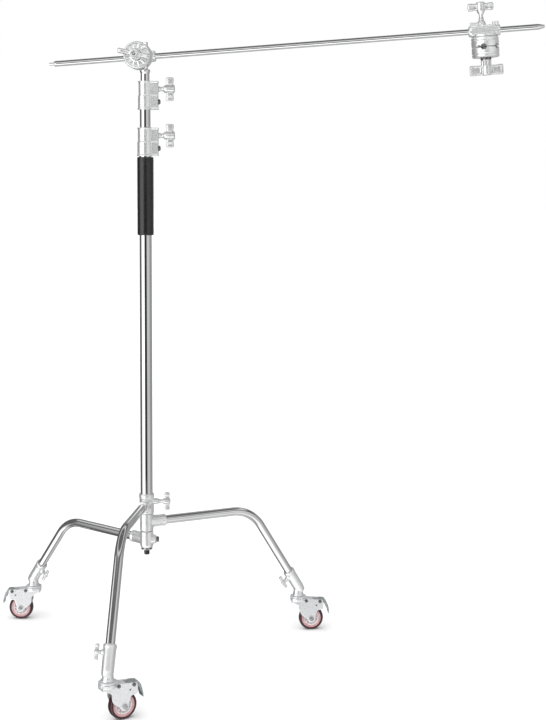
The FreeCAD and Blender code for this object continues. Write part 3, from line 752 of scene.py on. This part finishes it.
def socket_casting(leg):
    """The tapered sleeve on the leg's foot, its screw boss and the upright boss of the caster."""
    down = leg_down(leg)
    end = Vector((LEG_END.x, 0, LEG_END.y))
    along = Vector((down.x, 0, down.y))
    start = end - along * SOCKET_LENGTH
    body = Solid(leg_frame(leg))
    sleeve = facing(start, along)
    profile = [
        (0, 0), (15.5, 0), (17.8, 2), (17.8, 9), (16.8, 12), (16.2, SOCKET_LENGTH - 12),
        (14.5, SOCKET_LENGTH - 2), (0, SOCKET_LENGTH + 4),
    ]
    body.revolve(soften(profile, 1.6, closed=False), sleeve)
    race_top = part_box(leg + "_race")[1].z / MM
    upright = [
        (0, race_top + 0.2), (17.5, race_top + 0.2), (17.5, race_top + 4), (15, race_top + 9),
        (14, race_top + 24), (0, race_top + 30),
    ]
    body.revolve(soften(upright, 1.5, closed=False), Matrix.Translation((SWIVEL_AT, 0, 0)))
    screw, screw_axis = joint_at(leg + "_screw_turn"), joint_axis(leg + "_screw_turn")
    boss = [(0, -SCREW_BOSS), (9.5, -SCREW_BOSS), (7.5, -2), (6.5, -0.3), (0, -0.3)]
    join(body, Solid(frame_at(screw, UP, screw_axis)).revolve(soften(boss, 1.0, closed=False)))
    bore = Solid(leg_frame(leg)).rod(LEG_R + 0.4, -3, SOCKET_LENGTH - 12, sleeve)
    piece("%s_socket_casting" % leg, body, CASTING, LEG_BODY[leg], [leg + "_socket"],
          voxel=CAST_VOXEL, cutter=bore)
    thumb = frame_at(screw, leg_frame(leg).to_3x3() @ along, screw_axis)
    t_knob("%s_thumb_screw" % leg, thumb, leg + "_screw", leg + "_socket_screw",
           length=42, depth=13, thick=7, boss_r=6, stem_r=3.0,
           stem_length=SCREW_BOSS - LEG_R - STEM_SHORT, neck=5, voxel=0.5)


def caster_frame(leg):
    """Origin on the floor under the swivel, +X towards the wheel."""
    swivel = joint_at(leg + "_swivel")
    wheel = joint_at(leg + "_roll")
    trail = wheel - swivel
    return frame_at((swivel.x, swivel.y, 0), (trail.x, trail.y, 0), UP)


def wheel_frame(leg):
    """Origin at the wheel's centre, Z along the axle and X along the trail."""
    wheel = joint_at(leg + "_roll")
    swivel = joint_at(leg + "_swivel")
    return frame_at(wheel, (wheel.x - swivel.x, wheel.y - swivel.y, 0), joint_axis(leg + "_roll"))


FORK_TOP = 99.5
FORK_HALF = 17.0
SHEET = 2.5
WHEEL_R = 37.5
TRAIL = 40.0
FORK_RIVETS = ((23, 94), (66, 91))
CORE_RIBS = 10


def ring_of(center, radius, start, stop, steps):
    """Points on an arc in the plane, angles in degrees."""
    points = []
    for k in range(steps + 1):
        turn = math.radians(start + (stop - start) * k / steps)
        points.append((center[0] + radius * math.cos(turn), center[1] + radius * math.sin(turn)))
    return points


def race(leg):
    """Two stacked swivel plates with a groove between them, and the kingpin's nut."""
    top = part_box(leg + "_race")[1].z / MM
    plates = Solid(caster_frame(leg))
    profile = [
        (0, top), (24.2, top), (25, top - 0.8), (25, top - 2.7), (24.2, top - 3.5), (20.5, top - 3.8),
        (19.5, FORK_TOP + 0.5), (5, FORK_TOP + 0.5), (5, 92.6), (9, 92.6), (9, 88.6), (7, 86.7),
        (0, 86.7),
    ]
    plates.revolve(profile, segments=96)
    piece("%s_race_plates" % leg, plates, ZINC, LEG_BODY[leg], [leg + "_race"])


def fork(leg):
    """A pressed fork: two cheeks under a hood, a round crown with a rolled rim, and four rivets."""
    where = caster_frame(leg)
    across = facing(Vector((0, 0, 0)), Vector((0, -1, 0)), (1, 0, 0))
    cheek = [(-21, 99), (28, 99), (74, 96), (77, 90), (77, 66), (58, 62.5)]
    cheek += ring_of((TRAIL, WHEEL_R), 12.5, 20, -170, 12)
    cheek += [(9, 49), (4, 60), (4, 76), (-13, 85), (-21, 90)]
    shell = Solid(where)
    outline = soften(cheek, 4.0, steps=3)
    for side in (-1, 1):
        inner, outer = side * (FORK_HALF - SHEET), side * (FORK_HALF - 0.1)
        shell.plate(outline, min(inner, outer), max(inner, outer), across)
        pad_at = Vector((TRAIL, side * (FORK_HALF - 1), WHEEL_R))
        shell.rod(8.6, -1.0, 1.2, facing(pad_at, Vector((0, side, 0)), (1, 0, 0)), edge=0.6)
    hood = [
        (-21, 99.3), (28, 99.3), (46, 97.6), (46, 94), (24, 95.5), (-17, 95.5), (-18.5, 86), (-21, 86),
    ]
    shell.plate(soften(hood, 1.5), -FORK_HALF + 0.3, FORK_HALF - 0.3, across)
    crown = [(0, 93), (24.2, 93), (24.2, 99.3), (24.2, 102), (21, 102), (20.2, FORK_TOP), (0, FORK_TOP)]
    shell.revolve(soften(crown, 0.9, closed=False), segments=96)
    holes = Solid(where)
    holes.rod(5.2, 80, 110)
    side_hole = facing(Vector((TRAIL, 0, WHEEL_R)), Vector((0, 1, 0)), (1, 0, 0))
    holes.rod(4.2, -30, 30, side_hole)
    piece("%s_fork_pressing" % leg, shell, ZINC, leg + "_fork", [leg + "_fork"],
          voxel=0.85, passes=3, cutter=holes)
    profile = soften([(0, -1), (5.2, -1), (5.2, 2.0), (3.6, 3.4), (0, 3.6)], 0.9, closed=False)
    for number, (x, z) in enumerate(FORK_RIVETS, 1):
        for side in (-1, 1):
            head = facing(Vector((x, side * (FORK_HALF - 0.2), z)), Vector((0, side, 0)), (1, 0, 0))
            rivet = Solid(where).revolve(profile, head, segments=24)
            name = "%s_rivet_%d_%s" % (leg, number, "ab"[side > 0])
            piece(name, rivet, DARK, leg + "_fork")


def hexagon(radius):
    """Six corners, the first on +X."""
    return ring_of((0, 0), radius, 0, 300, 5)


def axle(leg):
    """The axle bolt with a hexagon head and a nut."""
    where = wheel_frame(leg)
    bolt = Solid(where).rod(4.0, -FORK_HALF - 6, FORK_HALF + 6, edge=0.8, segments=32)
    for side in (-1, 1):
        face = side * (FORK_HALF + 1.2)
        end = side * (FORK_HALF + 5.2)
        bolt.plate(soften(hexagon(7.4), 0.5), min(face, end), max(face, end))
    piece("%s_axle_bolt" % leg, bolt, FASTENER, leg + "_fork", [leg + "_axle"])


def wheel(leg):
    """Rounded tread, a coloured ring each side, and a ribbed core with its bearing boss."""
    where = wheel_frame(leg)
    half = 12.0
    tread = [
        (29.5, -half + 1.5), (31, -half + 0.2), (34.5, -half + 0.4), (36.6, -half + 3.2),
        (WHEEL_R, -half + 7.5), (WHEEL_R, half - 7.5), (36.6, half - 3.2), (34.5, half - 0.4),
        (31, half - 0.2), (29.5, half - 1.5),
    ]
    tyre = Solid(where).revolve(soften(tread, 1.2), segments=128)
    piece("%s_tread_ring" % leg, tyre, TREAD, leg + "_wheel", [leg + "_tread"])
    band = [(23, -half + 2.2), (29.6, -half + 1.0), (29.6, half - 1.0), (23, half - 2.2)]
    ring = Solid(where).revolve(soften(band, 0.6), segments=128)
    piece("%s_color_ring" % leg, ring, RING, leg + "_wheel")
    core = Solid(where)
    profile = [
        (4.1, -half - 1.4), (9.5, -half - 1.4), (11, -half + 1), (12.5, -3.2), (19, -3.2),
        (20.5, -half + 2.6), (23.2, -half + 1.6), (23.2, half - 1.6), (20.5, half - 2.6), (19, 3.2),
        (12.5, 3.2), (11, half - 1), (9.5, half + 1.4), (4.1, half + 1.4),
    ]
    core.revolve(soften(profile, 0.8), segments=96)
    for k in range(CORE_RIBS):
        core.block((10.5, -1.1, -half + 3.2), (21, 1.1, half - 3.2), turned_about_z(k * 360 / CORE_RIBS))
    piece("%s_core" % leg, core, CORE, leg + "_wheel", [leg + "_wheel_hub"])


def brake(leg):
    """The foot pedal: a bent plate with side lips and a cross pin."""
    where = caster_frame(leg)
    across = facing(Vector((0, 0, 0)), Vector((0, -1, 0)), (1, 0, 0))
    half = 12.6
    top_line = [(50, 79.5), (57.5, 91.5), (70, 97.6), (80.6, 96.5), (88.4, 86), (96.4, 51)]
    low_line = [(93.8, 50.5), (85.6, 85), (79, 93.6), (70.5, 94.8), (59.5, 89.6), (53, 78)]
    pedal = Solid(where)
    pedal.plate(soften(top_line + low_line, 1.6), -half, half, across)
    lip = [
        (50, 78), (57.5, 91.5), (70, 97.6), (80.6, 96.5), (88.4, 86), (93, 66), (88, 66), (80, 84),
        (62, 84.5), (56, 76),
    ]
    for side in (-1, 1):
        a, b = side * (half - 1.8), side * half
        pedal.plate(soften(lip, 2.0), min(a, b), max(a, b), across)
    for k in range(3):
        z = 74 - 7 * k
        x = 88.4 + (86 - z) * 0.2286
        ridge = facing(Vector((x + 1.4, 0, z)), Vector((0, 1, 0)), (1, 0, 0))
        pedal.rod(1.1, -half + 2, half - 2, ridge, edge=0.5, segments=16)
    pin = facing(joint_local(leg), Vector((0, 1, 0)), (1, 0, 0))
    pedal.rod(4.8, -half, half, pin, edge=0.5)
    piece("%s_pedal" % leg, pedal, PEDAL, leg + "_brake", [leg + "_brake"],
          voxel=0.7, passes=3)
    cross = Solid(where).rod(2.5, -FORK_HALF - 0.8, FORK_HALF + 0.8, pin, edge=0.6, segments=24)
    piece("%s_pedal_pin" % leg, cross, DARK, leg + "_brake")


def joint_local(leg):
    """The pedal's pin in the caster's own frame."""
    return caster_frame(leg).inverted() @ joint_at(leg + "_brake_press")


for leg_name in LEGS:
    leg_tube(leg_name)
    socket_casting(leg_name)
    race(leg_name)
    fork(leg_name)
    axle(leg_name)
    wheel(leg_name)
    brake(leg_name)

# ---------------------------------------------------------------- grip heads

ARM_DIR = joint_axis("arm_slide")
JAW_R = 38.5
JAW_GAP = 0.6
JAW_THICK = 28.0
JAW_SPOKES = 12
BORE_AT = 20.0
BORES = (8.0, 4.75, 6.35, 3.25)
ARM_BORE_Z = -46.0
BLOCK_HALF = 44.0
BLOCK_TOP = -63.0
HEAD_KNOB_X = -7.0
HANDLE_LEAN = -12.0
HANDLE_HALF = 47.0
ARM_R = 8.0

OUT_1 = joint_axis("arm_tilt")
DOWN_2 = joint_axis("head_2_jaw_swing")
CENTRE_1 = joint_at("arm_tilt")
CENTRE_2 = joint_at("head_2_jaw_swing")
LEVEL = UP.cross(OUT_1)
HEADS = {
    1: {
        "jaws": frame_at(CENTRE_1, LEVEL, OUT_1),
        "block": frame_at(CENTRE_1, ARM_DIR, OUT_1),
        "handle": frame_at(CENTRE_1, LEVEL, OUT_1) @ turned_about_z(HANDLE_LEAN),
    },
    2: {
        "jaws": frame_at(CENTRE_2, Vector(MOUNTS["head_2_jaw_16mm"]["pos_m"]) - CENTRE_2, DOWN_2),
        "block": frame_at(CENTRE_2, ARM_DIR, DOWN_2),
        "handle": frame_at(CENTRE_2, ARM_DIR, DOWN_2),
    },
}


def vee_bores(where):
    """The four six-sided bores across the parting plane and the bolt's hole."""
    reach = 60
    holes = Solid(where)
    for k, radius in enumerate(BORES):
        corner = radius / math.cos(math.radians(30)) + 0.15
        turn = math.radians(90 * k)
        beside = Vector((math.cos(turn), math.sin(turn), 0))
        along = Vector((-math.sin(turn), math.cos(turn), 0))
        place = facing(beside * BORE_AT, along, beside)
        holes.plate(hexagon(corner), -reach, reach, place)
    return holes.rod(5.2, -reach, reach)


def jaw(number, side, name, body):
    """A clamping disc: a groove round its rim and a spoked recess in its outer face."""
    where = HEADS[number]["jaws"]
    if side < 0:
        where = where @ Matrix.Rotation(math.pi, 4, "X")
    low, high = JAW_GAP, JAW_GAP + JAW_THICK
    disc = Solid(where)
    profile = [
        (0, low), (JAW_R - 1.5, low), (JAW_R, low + 1.5), (JAW_R, high - 10.5), (JAW_R - 1.6, high - 9.6),
        (JAW_R - 1.6, high - 8.4), (JAW_R, high - 7.5), (JAW_R - 0.2, high - 2.5), (JAW_R - 2.6, high),
        (JAW_R - 6, high), (JAW_R - 7.0, high - 1.8), (18.5, high - 1.8), (17.5, high), (0, high),
    ]
    disc.revolve(soften(profile, 0.7, closed=False), segments=112)
    for k in range(JAW_SPOKES):
        spoke = turned_about_z((k + 0.5) * 360 / JAW_SPOKES)
        disc.block((15, -1.8, high - 6), (JAW_R - 5, 1.8, high - 0.6), spoke)
    node = "head_%d_%s_jaw" % (number, "inner" if side < 0 else "outer")
    piece(name, disc, CASTING, body, [node], voxel=0.85, passes=3, cutter=vee_bores(where))


def washer(number, body):
    """The dark steel ring between the outer jaw and the handle."""
    start = JAW_GAP + JAW_THICK + 0.42
    outline = [(5.4, start), (15.4, start), (15.4, start + 5.4), (5.4, start + 5.4)]
    ring = Solid(HEADS[number]["handle"]).revolve(soften(outline, 0.8), segments=72)
    piece("head_%d_washer" % number, ring, DARK, body)


def big_handle(number, body):
    """The large T-handle: a fluted neck and two recessed wings."""
    where = HEADS[number]["handle"]
    start = JAW_GAP + JAW_THICK + 0.45
    neck = 20.0
    depth = 29.0
    bar = start + neck
    handle = Solid(where)
    sections = []
    for share, cut, width in (
        (-1.0, 4.5, 4.8), (-0.985, 1.8, 6.2), (-0.95, 0.4, 7.0), (-0.80, 0.0, 7.0), (-0.5, 0.8, 6.2),
        (-0.25, 0.8, 6.6), (0.25, 0.8, 6.6), (0.5, 0.8, 6.2), (0.80, 0.0, 7.0), (0.95, 0.4, 7.0),
        (0.985, 1.8, 6.2), (1.0, 4.5, 4.8),
    ):
        sections.append((share * HANDLE_HALF, 0, bar + depth / 2, width, depth / 2 - cut))
    handle.loft(sections, power=0.45, count=36)
    profile = [
        (0, start + 5.2), (14.6, start + 5.2), (14.6, start + 8), (13.4, start + 10), (13.4, bar),
        (13.6, bar + depth - 2), (12, bar + depth), (0, bar + depth),
    ]
    handle.revolve(soften(profile, 1.0, closed=False), segments=64)
    for k in range(8):
        flute = turned_about_z(45 * k + 22.5) @ Matrix.Translation((11.6, 0, 0))
        handle.rod(3.4, start + 7, bar + 3, flute, edge=1.0, segments=20)
    pockets = Solid(where)
    for x_side in (-1, 1):
        for y_side in (-1, 1):
            near, far = sorted((x_side * 18.0, x_side * 41.0))
            place = facing(Vector((0, y_side * 5.2, 0)), Vector((0, y_side, 0)), (1, 0, 0))
            low, high = bar + 6, bar + depth - 6
            outline = soften([(near, low), (far, low), (far, high), (near, high)], 4)
            flip = 1 if y_side < 0 else -1
            pockets.plate([(p[0], flip * p[1]) for p in outline], 0, 8, place)
    piece("head_%d_t_handle" % number, handle, KNOB, body, ["head_%d_handle" % number],
          cutter=pockets.rod(5.4, start - 5, bar + depth + 5), voxel=0.8, passes=3)
    bolt = Solid(where).rod(5.0, ARM_BORE_Z + ARM_R + 1.6, bar + depth - 4, edge=1.0, segments=32)
    piece("head_%d_main_bolt" % number, bolt, FASTENER, "head_%d_block" % number,
          ["head_%d_bolt" % number])


def head_block(number, body):
    """The block that the arm passes through: flange, arm sleeve, gussets and the knob's boss."""
    where = HEADS[number]["block"]
    flange_face = -JAW_GAP - JAW_THICK - 0.4
    block = Solid(where)
    flange = [
        (0, flange_face - 8), (JAW_R - 3, flange_face - 8), (JAW_R - 1, flange_face - 6),
        (JAW_R - 1, flange_face - 1.2), (JAW_R - 2.2, flange_face), (0, flange_face),
    ]
    block.revolve(soften(flange, 1.0, closed=False), segments=96)
    arm_place = facing(Vector((0, 0, ARM_BORE_Z)), RIGHT)
    sleeve = [
        (0, -BLOCK_HALF), (14.0, -BLOCK_HALF), (15.4, -BLOCK_HALF + 1.5), (15.4, BLOCK_HALF - 1.5),
        (14.0, BLOCK_HALF), (0, BLOCK_HALF),
    ]
    block.revolve(soften(sleeve, 1.0, closed=False), arm_place)
    end = BLOCK_HALF - 3
    block.block((-end, -15.4, ARM_BORE_Z - 10), (end, 15.4, flange_face - 4), edge=4)
    block.block((-30, -13, BLOCK_TOP + 1), (30, 13, ARM_BORE_Z), edge=5)
    boss = facing(Vector((HEAD_KNOB_X, 0, BLOCK_TOP + 2)), Vector((0, 0, -1)))
    cone = [(0, -6), (13.5, -6), (12.5, 4), (10, 12.6), (0, 12.6)]
    block.revolve(soften(cone, 1.2, closed=False), boss)
    for x, length in ((-BLOCK_HALF + 5, 20), (BLOCK_HALF - 21, 7), (BLOCK_HALF - 11, 8)):
        block.block((x, -8, BLOCK_TOP - 8), (x + length, 8, BLOCK_TOP + 10), edge=2.5)
    bore = Solid(where).rod(8.2, -60, 60, arm_place)
    piece("head_%d_block_casting" % number, block, CASTING, body,
          ["head_%d_block" % number], voxel=CAST_VOXEL, cutter=bore)


def small_knob(number, body):
    """The T-knob under the block, whose screw presses on the arm."""
    joint = "head_%d_knob_turn" % number
    where = frame_at(joint_at(joint), ARM_DIR, joint_axis(joint))
    stem_length = ARM_BORE_Z - 8.8 - (BLOCK_TOP - 11)
    t_knob("head_%d_knob_cast" % number, where, body, "head_%d_knob" % number,
           length=72, depth=27, thick=12, boss_r=12, stem_r=5.0, stem_length=stem_length, neck=26)


for head in (1, 2):
    jaw(head, -1, "head_%d_inner_disc" % head, "head_%d_jaw" % head)
    jaw(head, 1, "head_%d_outer_disc" % head, "head_%d_clamp" % head)
    washer(head, "head_%d_handle" % head)
    big_handle(head, "head_%d_handle" % head)
    head_block(head, "head_%d_block" % head)
    small_knob(head, "head_%d_knob" % head)

# ---------------------------------------------------------------- boom arm

PIN_R = 4.0
PLUG_R = 6.4
ARM_NEAR = -247.0
ARM_FAR = 1129.0
CAP_LENGTH = 19.5
ARM_START = CENTRE_1 + OUT_1 * ARM_BORE_Z * MM
ARM = frame_at(ARM_START, OUT_1, ARM_DIR)


def boom_arm():
    """The arm's tube, the thin pin in its near end and the tapered cap on its far end."""
    tube = tube_wall(ARM_R, ARM_R - TUBE_WALL, ARM_NEAR, ARM_FAR, 0.4)
    piece("boom_tube", Solid(ARM).revolve(tube, segments=72), STEEL, "arm", ["arm_tube"])
    pin = [
        (0, ARM_NEAR + 20), (PLUG_R, ARM_NEAR + 20), (PLUG_R, ARM_NEAR), (ARM_R, ARM_NEAR - 0.05),
        (ARM_R, ARM_NEAR - 1.5), (PIN_R + 1, ARM_NEAR - 3), (PIN_R, ARM_NEAR - 3), (PIN_R, ARM_NEAR - 17),
        (0, ARM_NEAR - 17),
    ]
    cap = [
        (0, ARM_FAR - 15), (PLUG_R, ARM_FAR - 15), (PLUG_R, ARM_FAR), (ARM_R, ARM_FAR + 0.05),
        (ARM_R, ARM_FAR + 2), (ARM_R - 4.0, ARM_FAR + CAP_LENGTH), (0, ARM_FAR + CAP_LENGTH),
    ]
    for end, profile, edge in (("pin", pin, 0.6), ("cap", cap, 0.9)):
        solid = Solid(ARM).revolve(soften(profile, edge, closed=False), segments=48)
        piece("boom_" + end, solid, STEEL, "arm", ["arm_" + end])


boom_arm()

# ---------------------------------------------------------------- floor, light and camera

FLOOR_HALF = 60.0      # metres
BACKDROP = 1.0         # what the camera sees behind the stand
STUDIO_GAIN = 1.7
CEILING = 0.08


def floor():
    """A wide pale slab; polished metal doesn't mirror it."""
    reach = FLOOR_HALF / MM
    obj = Solid(COLUMN).block((-reach, -reach, -20), (reach, reach, 0)).object("floor")
    obj.data.materials.append(floor_paint())
    obj.visible_glossy = False


def studio_world():
    """White to the eye; reflections see bright panels in front and dark space behind and above."""
    world = bpy.data.worlds.new("studio")
    bpy.context.scene.world = world
    world.use_nodes = True
    nodes, links = world.node_tree.nodes, world.node_tree.links
    nodes.clear()

    def math_node(operation, a, b=None, c=None):
        node = nodes.new("ShaderNodeMath")
        node.operation = operation
        for socket, value in zip(node.inputs, (a, b, c)):
            if value is None:
                continue
            if isinstance(value, (int, float)):
                socket.default_value = value
            else:
                links.new(value, socket)
        return node.outputs[0]

    def stops(source, pairs):
        ramp = nodes.new("ShaderNodeValToRGB")
        fill_ramp(ramp, [(position, (value, value, value)) for position, value in pairs])
        links.new(source, ramp.inputs["Fac"])
        return ramp.outputs["Color"]

    def blend_by(factor, a, b):
        mix = nodes.new("ShaderNodeMix")
        mix.data_type = "FLOAT"
        links.new(factor, mix.inputs["Factor"])
        for socket, value in ((mix.inputs["A"], a), (mix.inputs["B"], b)):
            if isinstance(value, (int, float)):
                socket.default_value = value
            else:
                links.new(value, socket)
        return mix.outputs["Result"]

    coordinates = nodes.new("ShaderNodeTexCoord").outputs["Generated"]
    split = nodes.new("ShaderNodeSeparateXYZ")
    links.new(coordinates, split.inputs["Vector"])
    x, y, z = split.outputs
    azimuth = math_node("ARCTAN2", x, math_node("MULTIPLY", y, -1.0))
    around = math_node("MULTIPLY_ADD", azimuth, 0.5 / math.pi, 0.5)
    height = math_node("MULTIPLY_ADD", math_node("ARCSINE", z), 1 / math.pi, 0.5)

    def turn(degrees):
        return degrees / 360 + 0.5

    def rise(degrees):
        return degrees / 180 + 0.5

    behind_left, behind_right, dark = 0.07, 0.20, 0.02
    left_panel, right_panel = 1.0, 0.37
    banded = stops(around, [
        (turn(-180), behind_right), (turn(-150), behind_left), (turn(-88), behind_left),
        (turn(-64), left_panel), (turn(-25), left_panel), (turn(-16), dark), (turn(19), dark),
        (turn(28), right_panel), (turn(70), right_panel), (turn(86), behind_right),
        (turn(180), behind_right),
    ])
    open_front = stops(around, [
        (turn(-180), behind_right), (turn(-150), behind_left), (turn(-92), behind_left),
        (turn(-68), left_panel), (turn(-20), left_panel), (turn(30), 0.7), (turn(76), right_panel),
        (turn(92), behind_right), (turn(180), behind_right),
    ])
    off_band = stops(height, [(rise(-27), 1.0), (rise(-18), 0.0), (rise(8), 0.0), (rise(14), 1.0)])
    walls = blend_by(off_band, banded, open_front)
    ceiling = stops(height, [(rise(20), 0.0), (rise(30), 1.0)])
    overhead = stops(height, [(rise(37), CEILING), (rise(43), 0.4), (rise(50), 0.4), (rise(56), CEILING)])
    with_ceiling = blend_by(ceiling, walls, overhead)
    below = stops(height, [(rise(-68), 1.0), (rise(-52), 0.0)])
    under = stops(math_node("MULTIPLY_ADD", y, 0.5, 0.5), [(0.35, 0.16), (0.6, 0.45)])
    whole = blend_by(below, with_ceiling, under)
    seen = nodes.new("ShaderNodeLightPath").outputs["Is Camera Ray"]
    strength = blend_by(seen, math_node("MULTIPLY", whole, STUDIO_GAIN), BACKDROP)
    background = nodes.new("ShaderNodeBackground")
    background.inputs["Color"].default_value = (1, 1, 1, 1)
    links.new(strength, background.inputs["Strength"])
    output = nodes.new("ShaderNodeOutputWorld")
    links.new(background.outputs["Background"], output.inputs["Surface"])


def soft_sun():
    """Even light from above for the floor and the dull pieces; polished metal doesn't mirror it."""
    light = bpy.data.lights.new("overhead", "SUN")
    light.energy = 3.0
    light.angle = math.radians(100)
    lamp = bpy.data.objects.new("overhead", light)
    lamp.rotation_euler = (math.radians(18), math.radians(-12), 0)
    lamp.visible_glossy = False
    bpy.context.scene.collection.objects.link(lamp)


def camera():
    """The viewpoint: a little above the stand's middle, looking slightly down."""
    data = bpy.data.cameras.new("camera")
    data.sensor_width = 36.0
    data.lens = 66.8
    data.shift_y = -0.0833
    data.clip_end = 200.0
    cam = bpy.data.objects.new("camera", data)
    cam.location = (0.3655, -3.8265, 1.3898)
    cam.rotation_euler = (math.radians(90 - 5.12), math.radians(-0.265), math.radians(0.024))
    bpy.context.scene.collection.objects.link(cam)
    bpy.context.scene.camera = cam


floor()
studio_world()
soft_sun()
camera()
bpy.context.scene.view_settings.view_transform = "Standard"
